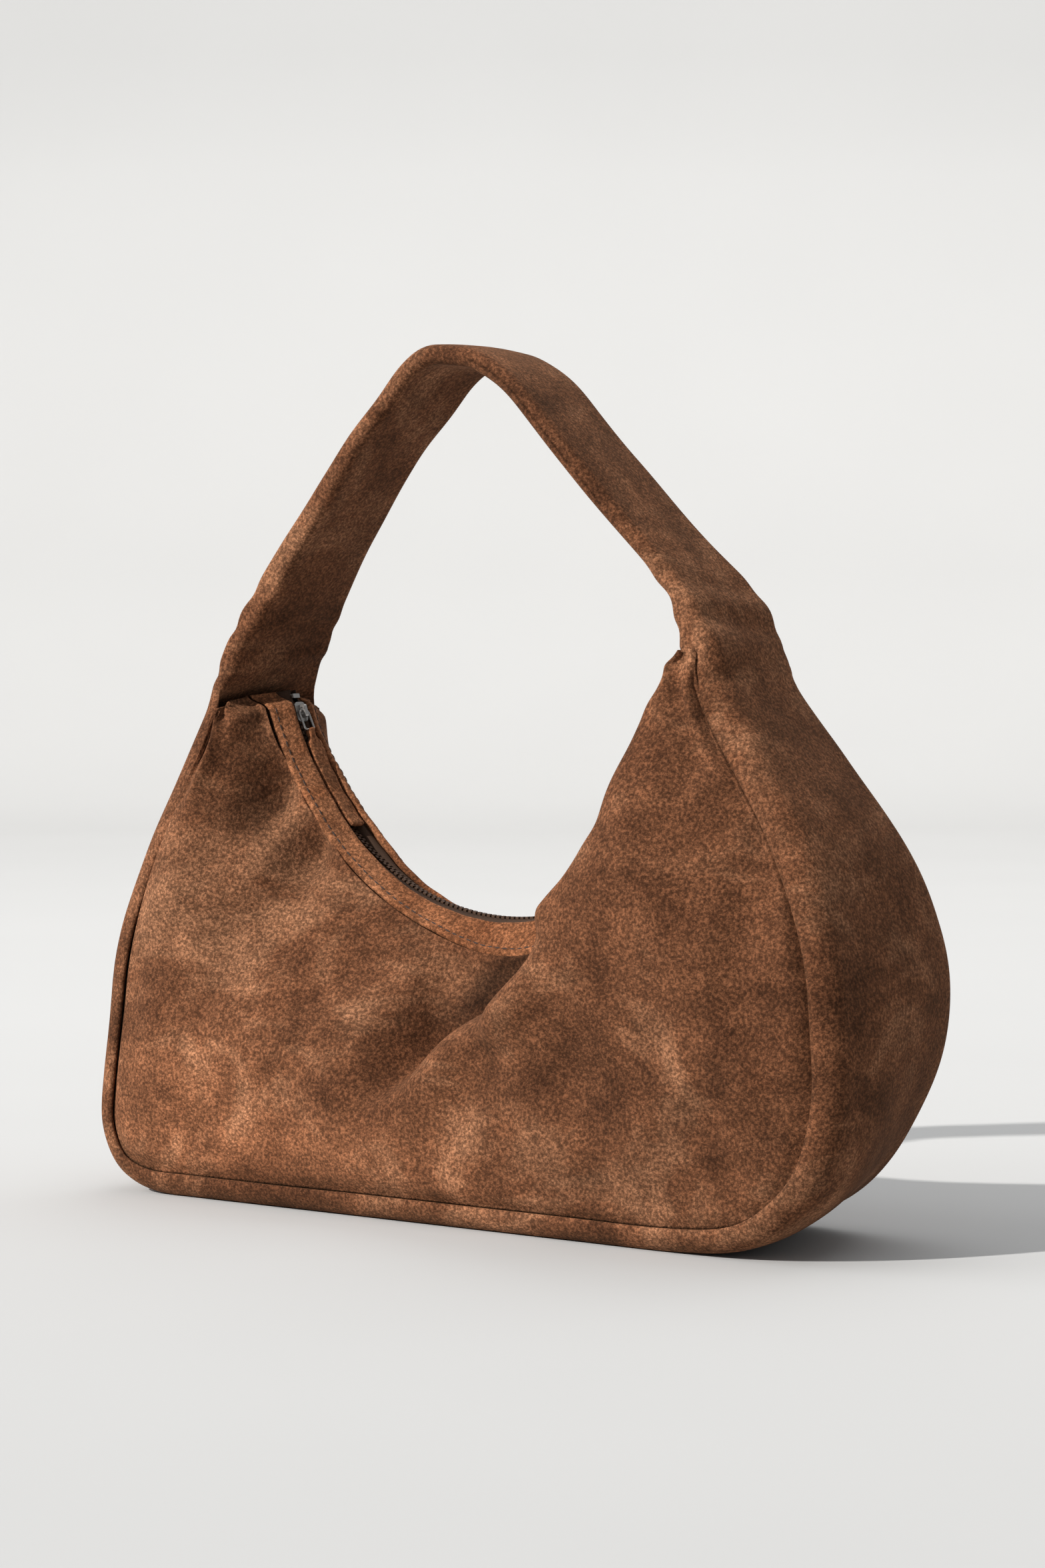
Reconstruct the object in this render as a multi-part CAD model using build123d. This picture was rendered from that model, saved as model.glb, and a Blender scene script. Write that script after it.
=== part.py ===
"""A suede hobo bag: a soft crescent body with a scooped zip top and one wide shoulder strap.

Millimetres, +Z up, +X to the right seen from the front, front towards -Y.
The origin is on the floor, under the middle of the bag.
"""

import os
from math import cos, degrees, pi, radians, sin, sqrt, tan

from build123d import *

# ---- driving dimensions -------------------------------------------------------------

# The bag's outline seen from the front, from the middle of its base up one side and on
# round the strap to its top. The other side mirrors it.
OUTLINE = (
    (0, 0),
    (70, 0),
    (140, 0),
    (190, 10),
    (212, 38),
    (219, 78),
    (216, 124),
    (203, 178),
    (183, 224),
    (160, 263),
    (135, 307),
    (104, 343),
    (76, 377),
    (42, 411),
    (0, 430),
)
BASE_HALF_LENGTH = 140  # the stretch of the base that lies flat
BODY_HALF_DEPTH = 60  # half the gusset's width round the base and sides
STRAP_HALF_WIDTH = 29
NARROWING_START_Z = 105  # the gusset narrows into the strap between these heights
NARROWING_END_Z = 362
STRAP_SHIFT = -9  # the soft top leans this far to the left
SHIFT_START_Z = 212  # from this height up, in full SHIFT_RISE higher
SHIFT_RISE = 60
STRAP_LEAN = -14  # and the strap's top leans this far forward

SKIN = 2.5  # suede with its backing
GAP = 0.3  # clearance between neighbouring pieces
SEAM_INSET = 6  # the panel's seam lies this far inside the outline
PANEL_BULGE = 15  # how far a filled panel stands out of its seam plane
SIDE_BULGE = 7
SIDE_BULGE_TOP_Z = 257  # the sides are filled out up to this height
PANEL_TOP_Z = 260  # the panels' upper ends, against the strap roots

ZIP_CENTRE_X = -4  # the closed zip lies on an arc in the plane Y = 0
ZIP_CENTRE_Z = 292
ZIP_RADIUS = 143
ZIP_HALF_ANGLE = 78
SLIDER_HALF_TRAVEL = 73
FACING_INNER_Y = 6
FACING_WIDTH = 12
FACING_THICKNESS = 1.6
TAPE_THICKNESS = 0.6
TAPE_EDGE_Y = 2.0
TAPE_WIDTH = 14
TOOTH_PITCH = 3.0
TOOTH_LENGTH = 1.8
TOOTH_HEIGHT = 2.2

STRAP_SKIN = 2.0
STRAP_CORE = 4.4
STRAP_THICKNESS = 2 * STRAP_SKIN + STRAP_CORE + 2 * GAP
FOLD_AXIS_Z = 306  # the strap folds forward and back about this line
FOLD_RADIUS = 33
FOLD_RANGE = 60
FOLD_CLEARANCE = 0.6
ROOT_BOTTOM_Z = 265

LINING = 0.6
LINING_INSET = 5.2  # how far the lining lies inside the suede's outer face
LINING_ENDS = (-0.93, 0.93)  # the front and back linings stop short of the panels' tips
LINING_TOP_Z = 214  # the lining strip's two upper ends
ANCHOR_HEIGHTS = (220, 254)
BOARD_LENGTH = 262
BOARD_WIDTH = 104
BOARD_THICKNESS = 2

SLIDER_LENGTH = 10.5
SLIDER_WIDTH = 8.6
PLATE_THICKNESS = 1.1
PLATE_UNDERSIDE = 1.4
BRIDGE_AXIS_HEIGHT = 3.7
WIRE_RADIUS = 0.65
RING_LENGTH = 10.5
RING_WIDTH = 7.4
TAB_LENGTH = 54
TAB_WIDTH = 10
TAB_THICKNESS = 3
RING_TILT = 8  # lifts the ring clear of the zip, which curves up under it
TAB_TILT = 16  # and the straight tab

COLUMNS = 9  # points across a soft surface, from front to back


# ---- the bag's surfaces ---------------------------------------------------------------


def smooth(t):
    """0 below 0, 1 above 1, and an even S between them."""
    t = max(0.0, min(1.0, t))
    return t * t * (3 - 2 * t)


def spaced(first, last, count):
    """Evenly spaced numbers from first to last."""
    return [first + (last - first) * i / (count - 1) for i in range(count)]


def half_depth(z):
    """Half the width of the gusset or strap at a height."""
    narrowed = smooth((z - NARROWING_START_Z) / (NARROWING_END_Z - NARROWING_START_Z))
    return BODY_HALF_DEPTH - (BODY_HALF_DEPTH - STRAP_HALF_WIDTH) * narrowed


def shifted(x, z):
    """The x of a point of the upright outline once the soft top has leaned aside."""
    return x + STRAP_SHIFT * smooth((z - SHIFT_START_Z) / SHIFT_RISE)


def forward(z):
    """How far back the strap's middle line lies at a height. It leans forward, so below 0."""
    return STRAP_LEAN * smooth((z - FOLD_AXIS_Z) / 100)


rim = Spline(*OUTLINE, tangents=((1, 0), (-1, 0)))


def share_at_height(z):
    """The share of the rim's length, from the middle of the base, at which it reaches z."""
    low, high = 0.2, 1.0
    for _ in range(40):
        middle = (low + high) / 2
        if (rim @ middle).Y < z:
            low = middle
        else:
            high = middle
    return low


def rim_point(share, inset=0.0):
    """The x and z of a point this far inside the rim. A negative share is the left side."""
    side = 1 if share >= 0 else -1
    point = rim @ abs(share)
    along = rim % abs(share)
    return side * (point.X - along.Y * inset), point.Y + along.X * inset


def shell(rows, thickness, inward):
    """A soft sheet: a smooth surface through rows of points, thickened inward."""
    surface = Face.make_surface_from_array_of_points(rows)
    return Solid.thicken(surface, thickness, normal_override=inward)


def band(first, last, rows, inset, thickness, inward, edge_gap=0.0, bulge=0.0):
    """A sheet that runs along the rim between two shares of it, from front to back."""
    grid = []
    for share in spaced(first, last, rows):
        upright_z = rim_point(share)[1]
        width = half_depth(upright_z) - edge_gap
        filled = bulge * smooth((upright_z - 10) / 60) * smooth((SIDE_BULGE_TOP_Z - upright_z) / 90)
        row = []
        for across in spaced(-1, 1, COLUMNS):
            x, z = rim_point(share, inset - filled * (1 - across**2))
            row.append(Vector(shifted(x, z), across * width, max(z, inset)))
        grid.append(row)
    return shell(grid, thickness, inward)


def panel_point(across, down, inset, side):
    """A point of the front (side -1) or back (side 1) panel.

    across runs from the left end, -1, to the right end, 1, and down from the zip to the seam.
    """
    seam_x, seam_z = rim_point(share_at_height(PANEL_TOP_Z) * across, SEAM_INSET + inset)
    seam_x = shifted(seam_x, seam_z)
    seam_y = half_depth(seam_z) - inset
    angle = radians(ZIP_HALF_ANGLE * across)
    zip_x = ZIP_CENTRE_X + (ZIP_RADIUS + inset) * sin(angle)
    zip_z = ZIP_CENTRE_Z - (ZIP_RADIUS + inset) * cos(angle)
    zip_y = FACING_INNER_Y + FACING_WIDTH + GAP - inset / 2
    bulge = PANEL_BULGE * sin(pi * down) * sqrt(1 - abs(across) ** 3)
    y = zip_y + (seam_y - zip_y) * (1 - (1 - down) ** 3) + bulge
    return Vector(zip_x + (seam_x - zip_x) * down, side * y, zip_z + (seam_z - zip_z) * down)


def panel(side, inset, thickness, across=(-1, 1), down=(0, 1)):
    """The front or back crescent, or its lining, or a patch of either."""
    grid = [
        [panel_point(a, d, inset, side) for d in spaced(*down, COLUMNS + 2)]
        for a in spaced(*across, 31)
    ]
    return shell(grid, thickness, (0, -side, 0))


# ---- the zip ----------------------------------------------------------------------------


def carried(solid, angle):
    """Carries a solid along the zip's arc by an angle from its lowest point.

    The solid is drawn about that point, with +X the way along and +Z towards the arc's centre.
    """
    centre = Axis((ZIP_CENTRE_X, 0, ZIP_CENTRE_Z), (0, -1, 0))
    return (Pos(ZIP_CENTRE_X, 0, ZIP_CENTRE_Z - ZIP_RADIUS) * solid).rotate(centre, angle)


def zip_strip(low_y, high_y, low_height, high_height):
    """A strip of the arc between two Y and two heights above the tape's middle."""
    plane = Plane((ZIP_CENTRE_X, high_y, ZIP_CENTRE_Z), x_dir=(1, 0, 0), z_dir=(0, -1, 0))
    start = -90 - ZIP_HALF_ANGLE
    outer = CenterArc((0, 0), ZIP_RADIUS - low_height, start, 2 * ZIP_HALF_ANGLE)
    inner = CenterArc((0, 0), ZIP_RADIUS - high_height, start, 2 * ZIP_HALF_ANGLE)
    ends = [Line(outer @ 1, inner @ 1), Line(inner @ 0, outer @ 0)]
    return extrude(plane * make_face([outer, inner] + ends), high_y - low_y)


def facing(side):
    """The suede strip along one side of the zip."""
    low, high = sorted((side * FACING_INNER_Y, side * (FACING_INNER_Y + FACING_WIDTH)))
    foot = TAPE_THICKNESS / 2 + GAP
    return zip_strip(low, high, foot, foot + FACING_THICKNESS)


def tape(side):
    """The woven tape under one facing, with its edge at the teeth."""
    low, high = sorted((side * TAPE_EDGE_Y, side * (TAPE_EDGE_Y + TAPE_WIDTH)))
    return zip_strip(low, high, -TAPE_THICKNESS / 2, TAPE_THICKNESS / 2)


def teeth(side):
    """One row of moulded teeth on the tape's edge, each a solid of its own."""
    width = TAPE_EDGE_Y - 0.2
    tooth = Pos(0, side * (0.2 + width / 2), 0) * Box(TOOTH_LENGTH, width, TOOTH_HEIGHT)
    step = degrees(TOOTH_PITCH / ZIP_RADIUS)
    first = step * side / 4 - SLIDER_HALF_TRAVEL
    count = int(2 * SLIDER_HALF_TRAVEL / step)
    return Compound([carried(tooth, first + i * step) for i in range(count)])


def zip_stop(side):
    """The crimped stop beyond the last tooth at one end."""
    clamp = Box(2.2, 2 * TAPE_EDGE_Y + 1.2, TOOTH_HEIGHT + 0.6)
    clamp -= Box(4, 2 * TAPE_EDGE_Y + 4, TAPE_THICKNESS + 0.04)
    core = Box(2.2, 2 * TAPE_EDGE_Y - 0.1, TAPE_THICKNESS + 0.2)
    return carried(clamp + core, side * (SLIDER_HALF_TRAVEL + 3.6))


def slider_body():
    """Two plates joined by the wedge that parts the teeth, with turned-in side flanges."""
    plate = Box(SLIDER_LENGTH, SLIDER_WIDTH, PLATE_THICKNESS)
    plate = fillet(plate.edges().filter_by(Axis.Z), 2.4)
    height = PLATE_UNDERSIDE + PLATE_THICKNESS / 2
    body = Pos(0, 0, height) * plate + Pos(0, 0, -height) * plate
    flange_height = PLATE_UNDERSIDE - TAPE_THICKNESS / 2 - GAP
    flange = Box(SLIDER_LENGTH - 5, 0.9, flange_height)
    flange_z = PLATE_UNDERSIDE - flange_height / 2
    for side in (-1, 1):
        for level in (-1, 1):
            body += Pos(0.5, side * (SLIDER_WIDTH / 2 - 0.45), level * flange_z) * flange
    wedge = Box(1.8, 2.4, 2 * PLATE_UNDERSIDE)
    return body + Pos(-SLIDER_LENGTH / 2 + 1.5, 0, 0) * wedge


def slider_bridge():
    """The loop on top of the slider that the puller's wire runs through."""
    foot = PLATE_UNDERSIDE + PLATE_THICKNESS
    block = Box(7, 2.2, 3.4)
    block = fillet(block.edges().filter_by(Axis.Y).sort_by(Axis.Z)[-2:], 1.4)
    slot = Box(4, 4, 2 * (WIRE_RADIUS + GAP))
    slot = fillet(slot.edges().filter_by(Axis.Y), 0.9)
    return Pos(0, 0, foot + 1.7) * block - Pos(0, 0, BRIDGE_AXIS_HEIGHT) * slot


def hung(solid):
    """Tilts a solid that is drawn about the bridge's slot, as it hangs there."""
    return Pos(0, 0, BRIDGE_AXIS_HEIGHT) * Rot(0, -RING_TILT, 0) * solid


def puller_ring():
    """A wire loop that hangs in the bridge, with the tab on its far bar."""
    outline = Pos(RING_LENGTH / 2, 0, 0) * RectangleRounded(RING_LENGTH, RING_WIDTH, 1.6)
    path = outline.face().outer_wire()
    section = Plane(origin=path @ 0, z_dir=path % 0) * Circle(WIRE_RADIUS)
    return hung(sweep(section, path=path))


def pull_tab():
    """A doubled suede strip, folded round the ring's far bar and cut square at its end."""
    fold_width = RING_WIDTH - 3.4
    fold = Rot(90, 0, 0) * Cylinder(2.3, fold_width)
    neck = Pos(4, 0, 0) * Box(8, fold_width, TAB_THICKNESS)
    strip = Pos(5 + TAB_LENGTH / 2, 0, 0) * Box(TAB_LENGTH, TAB_WIDTH, TAB_THICKNESS)
    strip = fillet(strip.edges().filter_by(Axis.Z), 1.5)
    hole = Rot(90, 0, 0) * Cylinder(WIRE_RADIUS + GAP, TAB_WIDTH)
    tab = fold + neck + strip - hole
    return hung(Pos(RING_LENGTH, 0, 0) * Rot(0, RING_TILT - TAB_TILT, 0) * tab)


# ---- the strap and its roots -------------------------------------------------------------


def fold_drum(radius):
    """The round form on which the strap's ends turn in their roots."""
    return Pos(0, 0, FOLD_AXIS_Z) * Rot(0, 90, 0) * Cylinder(radius, 500)


def strap_layer(inset, thickness, edge_gap):
    """One layer of the strap, from root to root, with its ends rounded about the fold line."""
    low = FOLD_AXIS_Z - FOLD_RADIUS - 12
    shares = spaced(share_at_height(low), 1, 14)
    arch = []
    for depth in (inset, inset + thickness):
        right = [rim_point(share, depth) for share in shares]
        left = [(-x, z) for x, z in right[-2::-1]]
        arch.append(Spline(*[(shifted(x, z), z) for x, z in right + left]))
    outer, inner = arch
    ends = [Line(outer @ 0, inner @ 0), Line(outer @ 1, inner @ 1)]
    arch = extrude(Plane.XZ * make_face([outer, inner] + ends), 100, both=True)
    edges = []
    for side in (-1, 1):
        heights = spaced(low - 5, OUTLINE[-1][1] + 5, 9)
        edge = [(forward(z) + side * (half_depth(z) - edge_gap), z) for z in heights]
        edges.append(Spline(*edge))
    front, back = edges
    caps = [Line(front @ 0, back @ 0), Line(front @ 1, back @ 1)]
    width = extrude(Plane.YZ * make_face([front, back] + caps), 250, both=True)
    above = Pos(0, 0, FOLD_AXIS_Z + 100) * Box(500, 200, 200)
    return arch & width & (above + fold_drum(FOLD_RADIUS))


def strap_root(side):
    """The padded stub where the gusset runs on into the strap, cut clear of the fold."""
    first = side * share_at_height(ROOT_BOTTOM_Z)
    last = side * share_at_height(FOLD_AXIS_Z - 4)
    stub = band(first, last, 9, 0, STRAP_THICKNESS, (-side, 0, 0))
    radius = FOLD_RADIUS + FOLD_CLEARANCE
    touch_y = radius * cos(radians(FOLD_RANGE))
    touch_z = FOLD_AXIS_Z - radius * sin(radians(FOLD_RANGE))
    reach = 40
    far_z = touch_z + reach / tan(radians(FOLD_RANGE))
    right = [(0, FOLD_AXIS_Z), (touch_y, touch_z), (touch_y + reach, far_z)]
    right.append((touch_y + reach, FOLD_AXIS_Z + 60))
    left = [(-y, z) for y, z in right[:0:-1]]
    swept = extrude(Plane.YZ * make_face(Polyline(*right, *left, close=True)), 250, both=True)
    return stub - fold_drum(radius) - swept


def anchor(side):
    """The webbing patch inside one end of the gusset that takes the strap's pull."""
    first, last = (side * share_at_height(z) for z in ANCHOR_HEIGHTS)
    return band(first, last, 7, SKIN + 1, 1.2, (-side, 0, 0), edge_gap=14)


# ---- the pieces ------------------------------------------------------------------------------


def gusset_side(side):
    """One side of the gusset, from the flat base up to the strap's root."""
    first = side * (BASE_HALF_LENGTH + 1.2) / rim.length
    last = side * share_at_height(ROOT_BOTTOM_Z - 0.5)
    return band(first, last, 29, 0, SKIN, (-side, 0, 0), SKIN + 2 * GAP, SIDE_BULGE)


def lining_gusset():
    """The lining's one long strip, up both sides and over the base board."""
    inset = SKIN + GAP + BOARD_THICKNESS + GAP
    top = share_at_height(LINING_TOP_Z)
    return band(-top, top, 61, inset, LINING, (0, 0, 1), LINING_INSET + LINING + GAP, SIDE_BULGE)


def pieces():
    """Every piece of the bag, by name."""
    base_width = 2 * (BODY_HALF_DEPTH - SKIN - 2 * GAP)
    board_z = SKIN + GAP + BOARD_THICKNESS / 2
    board = Box(BOARD_LENGTH, BOARD_WIDTH, BOARD_THICKNESS)
    pocket_inset = LINING_INSET + LINING + GAP
    rest = -SLIDER_HALF_TRAVEL
    core_inset = STRAP_SKIN + GAP
    found = {
        "gusset_bottom": Pos(0, 0, SKIN / 2) * Box(2 * BASE_HALF_LENGTH, base_width, SKIN),
        "base_board": Pos(0, 0, board_z) * fillet(board.edges().filter_by(Axis.Z), 12),
        "lining_gusset": lining_gusset(),
        "lining_pocket": panel(1, pocket_inset, LINING, across=(-0.4, 0.4), down=(0.2, 0.85)),
        "strap_outer": strap_layer(0, STRAP_SKIN, 0),
        "strap_core": strap_layer(core_inset, STRAP_CORE, 3),
        "strap_inner": strap_layer(core_inset + STRAP_CORE + GAP, STRAP_SKIN, 0),
        "slider_body": carried(slider_body(), rest),
        "slider_bridge": carried(slider_bridge(), rest),
        "puller_ring": carried(puller_ring(), rest),
        "pull_tab": carried(pull_tab(), rest),
    }
    for side, name in ((-1, "front"), (1, "back")):
        found[f"{name}_panel"] = panel(side, 0, SKIN)
        found[f"lining_{name}"] = panel(side, LINING_INSET, LINING, across=LINING_ENDS)
        found[f"{name}_facing"] = facing(side)
        found[f"zip_tape_{name}"] = tape(side)
        found[f"zip_teeth_{name}"] = teeth(side)
    for side, name in ((-1, "left"), (1, "right")):
        found[f"gusset_{name}"] = gusset_side(side)
        found[f"strap_root_{name}"] = strap_root(side)
        found[f"strap_anchor_{name}"] = anchor(side)
        found[f"zip_stop_{name}"] = zip_stop(side)
    return found


os.makedirs("parts", exist_ok=True)
for name, piece in pieces().items():
    export_step(piece, f"parts/{name}.step")
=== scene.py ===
"""The looks of the suede hobo bag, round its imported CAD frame.

Blender works in metres. Shapes are worked out here in millimetres and scaled by MM.
"""

import math

import bpy
import numpy as np
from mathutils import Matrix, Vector, noise


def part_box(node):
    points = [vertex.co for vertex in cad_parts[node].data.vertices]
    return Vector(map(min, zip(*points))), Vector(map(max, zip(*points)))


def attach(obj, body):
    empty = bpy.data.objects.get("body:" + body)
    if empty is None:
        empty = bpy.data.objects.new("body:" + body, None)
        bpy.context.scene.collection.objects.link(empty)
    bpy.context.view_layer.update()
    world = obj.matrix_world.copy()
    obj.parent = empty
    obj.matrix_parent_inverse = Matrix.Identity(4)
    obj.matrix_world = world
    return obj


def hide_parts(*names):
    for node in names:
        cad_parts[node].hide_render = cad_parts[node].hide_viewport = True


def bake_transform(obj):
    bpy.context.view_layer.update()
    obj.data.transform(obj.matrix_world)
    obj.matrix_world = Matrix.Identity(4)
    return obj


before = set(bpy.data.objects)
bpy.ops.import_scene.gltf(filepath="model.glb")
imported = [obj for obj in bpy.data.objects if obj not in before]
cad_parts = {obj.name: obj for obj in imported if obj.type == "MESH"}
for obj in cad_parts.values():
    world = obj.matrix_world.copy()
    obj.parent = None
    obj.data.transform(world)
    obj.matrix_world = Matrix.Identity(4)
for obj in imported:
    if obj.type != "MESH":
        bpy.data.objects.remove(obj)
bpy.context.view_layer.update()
MM = 0.001

# ---- the bag's own sizes, in millimetres -----------------------------------------------

# The ring is the outside of the gusset and strap seen from the front, from the middle of
# the base round to the right, over the top and down the left side.
RING = (
    (0, 0), (70, 0), (130, 0), (168, 4), (193, 16), (211, 35), (221, 62), (225, 92),
    (222, 126), (215, 154), (205, 180), (190, 206), (172, 231), (156, 252), (145, 269),
    (141, 285), (135, 299), (125, 313), (112, 326), (98, 340), (80, 359), (61, 380),
    (42, 401), (24, 419), (4, 431), (-12, 434), (-27, 434), (-42, 425), (-57, 410),
    (-74, 394), (-90, 376), (-107, 357), (-124, 339), (-140, 320), (-153, 303),
    (-161, 288), (-166, 274), (-170, 260), (-178, 240), (-189, 214), (-203, 184),
    (-213, 154), (-220, 125), (-224, 95), (-229, 60), (-230, 33), (-219, 11),
    (-197, 1), (-165, 0), (-125, 0), (-65, 0),
)  # fmt: skip
FOLD_AXIS_Z = 306
BODY_HALF_DEPTH = 60
STRAP_HALF_WIDTH = 29.5
NARROWING = (105, 362)
STRAP_LEAN = -14
ZIP_CENTRE = (-4, 292)
ZIP_RADIUS = 143
ZIP_HALF_ANGLE = 78
TONGUE_Z = {-1: 254, 1: 292}  # where the panels' left and right ends meet the strap
# the front panel's crest right of its fold: shares of the zip's half angle, and x and z
CREST = (
    (0.12, 18, 122), (0.25, 48, 149), (0.40, 74, 174), (0.55, 93, 201),
    (0.70, 103, 231), (0.85, 110, 260), (1.00, 121, 283),
)  # fmt: skip
SEAM_INSET = 12
ROLL = 11
SKIN = 1.8
STRAP_THICKNESS = 9
FACING = (6, 18)
RING_STEPS = 560
SECTION_STEPS = 48
ACROSS_STEPS = 300
DOWN_STEPS = 96


def smooth(t):
    """0 below 0, 1 above 1, and an even S between them."""
    t = np.clip(t, 0, 1)
    return t * t * (3 - 2 * t)


def hump(t, middle, width):
    """A rounded hump of height 1."""
    return np.exp(-(((t - middle) / width) ** 2))


def half_depth(z):
    """Half the width of the gusset or strap at a height."""
    low, high = NARROWING
    return BODY_HALF_DEPTH - (BODY_HALF_DEPTH - STRAP_HALF_WIDTH) * smooth((z - low) / (high - low))


def lean(z):
    """How far back the strap's middle line lies at a height."""
    return STRAP_LEAN * smooth((z - FOLD_AXIS_Z) / 100)


def closed_curve(points, count):
    """Evenly spaced points on a smooth closed curve through the given ones."""
    p = np.array(points, float)
    before, after, next_one = np.roll(p, 1, 0), np.roll(p, -1, 0), np.roll(p, -2, 0)
    t = np.linspace(0, 1, 24, endpoint=False)[:, None, None]
    run = 0.5 * (
        2 * p
        + (after - before) * t
        + (2 * before - 5 * p + 4 * after - next_one) * t**2
        + (3 * p - before - 3 * after + next_one) * t**3
    )
    run = run.transpose(1, 0, 2).reshape(-1, 2)
    run = np.vstack([run, run[:1]])
    length = np.concatenate([[0], np.cumsum(np.linalg.norm(np.diff(run, axis=0), axis=1))])
    at = np.linspace(0, length[-1], count, endpoint=False)
    return np.stack([np.interp(at, length, run[:, k]) for k in range(2)], axis=1)


def soften(values, times):
    """Rounds off the corners of a closed run of points."""
    for _ in range(times):
        values = (np.roll(values, 1, 0) + 2 * values + np.roll(values, -1, 0)) / 4
    return values


def unit(v):
    """The same direction with length 1."""
    return v / np.maximum(np.linalg.norm(v, axis=-1, keepdims=True), 1e-9)


ring = soften(closed_curve(RING, RING_STEPS), 4)
ring_along = unit(np.roll(ring, -1, 0) - np.roll(ring, 1, 0))
ring_inward = np.stack([-ring_along[:, 1], ring_along[:, 0]], axis=1)


def rough(points, size, seed, octaves=3):
    """Smooth noise, about -1 to 1, at points in millimetres."""
    shift = Vector((seed * 17.3, seed * 5.1, seed * 9.7))
    flat = points.reshape(-1, 3) / size
    found = [noise.fractal(Vector(p) + shift, 1.0, 2.0, octaves) for p in flat]
    return np.array(found).reshape(points.shape[:-1])


def grid_mesh(name, grid, close_rows=False, close_columns=False):
    """A mesh of four-sided faces over a grid of points in millimetres."""
    rows, columns = grid.shape[:2]
    mesh = bpy.data.meshes.new(name)
    i = np.arange(rows if close_rows else rows - 1)[:, None]
    j = np.arange(columns if close_columns else columns - 1)[None, :]
    i_next, j_next = (i + 1) % rows, (j + 1) % columns
    faces = [i * columns + j, i_next * columns + j, i_next * columns + j_next, i * columns + j_next]
    faces = np.stack([np.broadcast_to(f, (i.shape[0], j.shape[1])) for f in faces], axis=-1)
    mesh.from_pydata((grid.reshape(-1, 3) * MM).tolist(), [], faces.reshape(-1, 4).tolist())
    mesh.polygons.foreach_set("use_smooth", [True] * len(mesh.polygons))
    piece = bpy.data.objects.new(name, mesh)
    bpy.context.scene.collection.objects.link(piece)
    return piece


def apply_modifiers(piece):
    """Keeps the modified mesh and drops the modifiers."""
    found = bpy.context.evaluated_depsgraph_get()
    mesh = bpy.data.meshes.new_from_object(piece.evaluated_get(found))
    piece.modifiers.clear()
    piece.data = mesh
    return piece


def thicken(piece, thickness, offset=-1):
    """Gives a sheet its thickness, in millimetres."""
    solid = piece.modifiers.new("thickness", "SOLIDIFY")
    solid.thickness = thickness * MM
    solid.offset = offset
    return apply_modifiers(piece)


# ---- materials --------------------------------------------------------------------------


class Nodes:
    """A short way to write a material's nodes."""

    def __init__(self, name):
        self.material = bpy.data.materials.new(name)
        self.material.use_nodes = True
        self.tree = self.material.node_tree
        self.shader = self.tree.nodes["Principled BSDF"]
        self.place = self.tree.nodes.new("ShaderNodeTexCoord").outputs["Object"]

    def set(self, **values):
        for key, value in values.items():
            self.shader.inputs[key.replace("_", " ")].default_value = value

    def link(self, source, socket):
        self.tree.links.new(source, self.shader.inputs[socket])

    def noise(self, scale, detail=3, roughness=0.6, stretch=(1, 1, 1), distortion=0):
        vector = self.place
        if stretch != (1, 1, 1):
            mapping = self.tree.nodes.new("ShaderNodeMapping")
            mapping.inputs["Scale"].default_value = stretch
            self.tree.links.new(vector, mapping.inputs["Vector"])
            vector = mapping.outputs[0]
        node = self.tree.nodes.new("ShaderNodeTexNoise")
        for key, value in (("Scale", scale), ("Detail", detail), ("Roughness", roughness)):
            node.inputs[key].default_value = value
        node.inputs["Distortion"].default_value = distortion
        self.tree.links.new(vector, node.inputs["Vector"])
        return node.outputs["Fac"]

    def wave(self, scale, direction, distortion=0.0):
        node = self.tree.nodes.new("ShaderNodeTexWave")
        node.bands_direction = direction
        node.inputs["Scale"].default_value = scale
        node.inputs["Distortion"].default_value = distortion
        self.tree.links.new(self.place, node.inputs["Vector"])
        return node.outputs["Fac"]

    def patch(self, centre, radii, angle):
        """A soft ellipsoid, 1 in its middle and 0 at its edge, turned about Y; millimetres."""
        mapping = self.tree.nodes.new("ShaderNodeMapping")
        mapping.vector_type = "TEXTURE"
        mapping.inputs["Location"].default_value = [c * MM for c in centre]
        mapping.inputs["Rotation"].default_value = (0, math.radians(angle), 0)
        mapping.inputs["Scale"].default_value = [r * MM for r in radii]
        node = self.tree.nodes.new("ShaderNodeTexGradient")
        node.gradient_type = "SPHERICAL"
        self.tree.links.new(self.place, mapping.inputs["Vector"])
        self.tree.links.new(mapping.outputs[0], node.inputs["Vector"])
        return node.outputs["Fac"]

    def ramp(self, source, *stops):
        node = self.tree.nodes.new("ShaderNodeValToRGB")
        elements = node.color_ramp.elements
        while len(elements) < len(stops):
            elements.new(0.5)
        for element, (position, colour) in zip(elements, stops):
            element.position = position
            if not isinstance(colour, tuple):
                colour = (colour,) * 3
            element.color = (*colour, 1)
        self.tree.links.new(source, node.inputs[0])
        return node.outputs["Color"]

    def mix(self, kind, amount, a, b):
        node = self.tree.nodes.new("ShaderNodeMix")
        node.data_type = "RGBA"
        node.blend_type = kind
        for socket, value in zip((node.inputs[0], node.inputs[6], node.inputs[7]), (amount, a, b)):
            if hasattr(value, "is_linked") or hasattr(value, "links"):
                self.tree.links.new(value, socket)
            elif isinstance(value, tuple):
                socket.default_value = (*value, 1)
            else:
                socket.default_value = value
        return node.outputs[2]

    def bump(self, source, strength, distance, below=None):
        node = self.tree.nodes.new("ShaderNodeBump")
        node.inputs["Strength"].default_value = strength
        node.inputs["Distance"].default_value = distance * MM
        self.tree.links.new(source, node.inputs["Height"])
        if below is not None:
            self.tree.links.new(below, node.inputs["Normal"])
        return node.outputs["Normal"]


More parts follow.
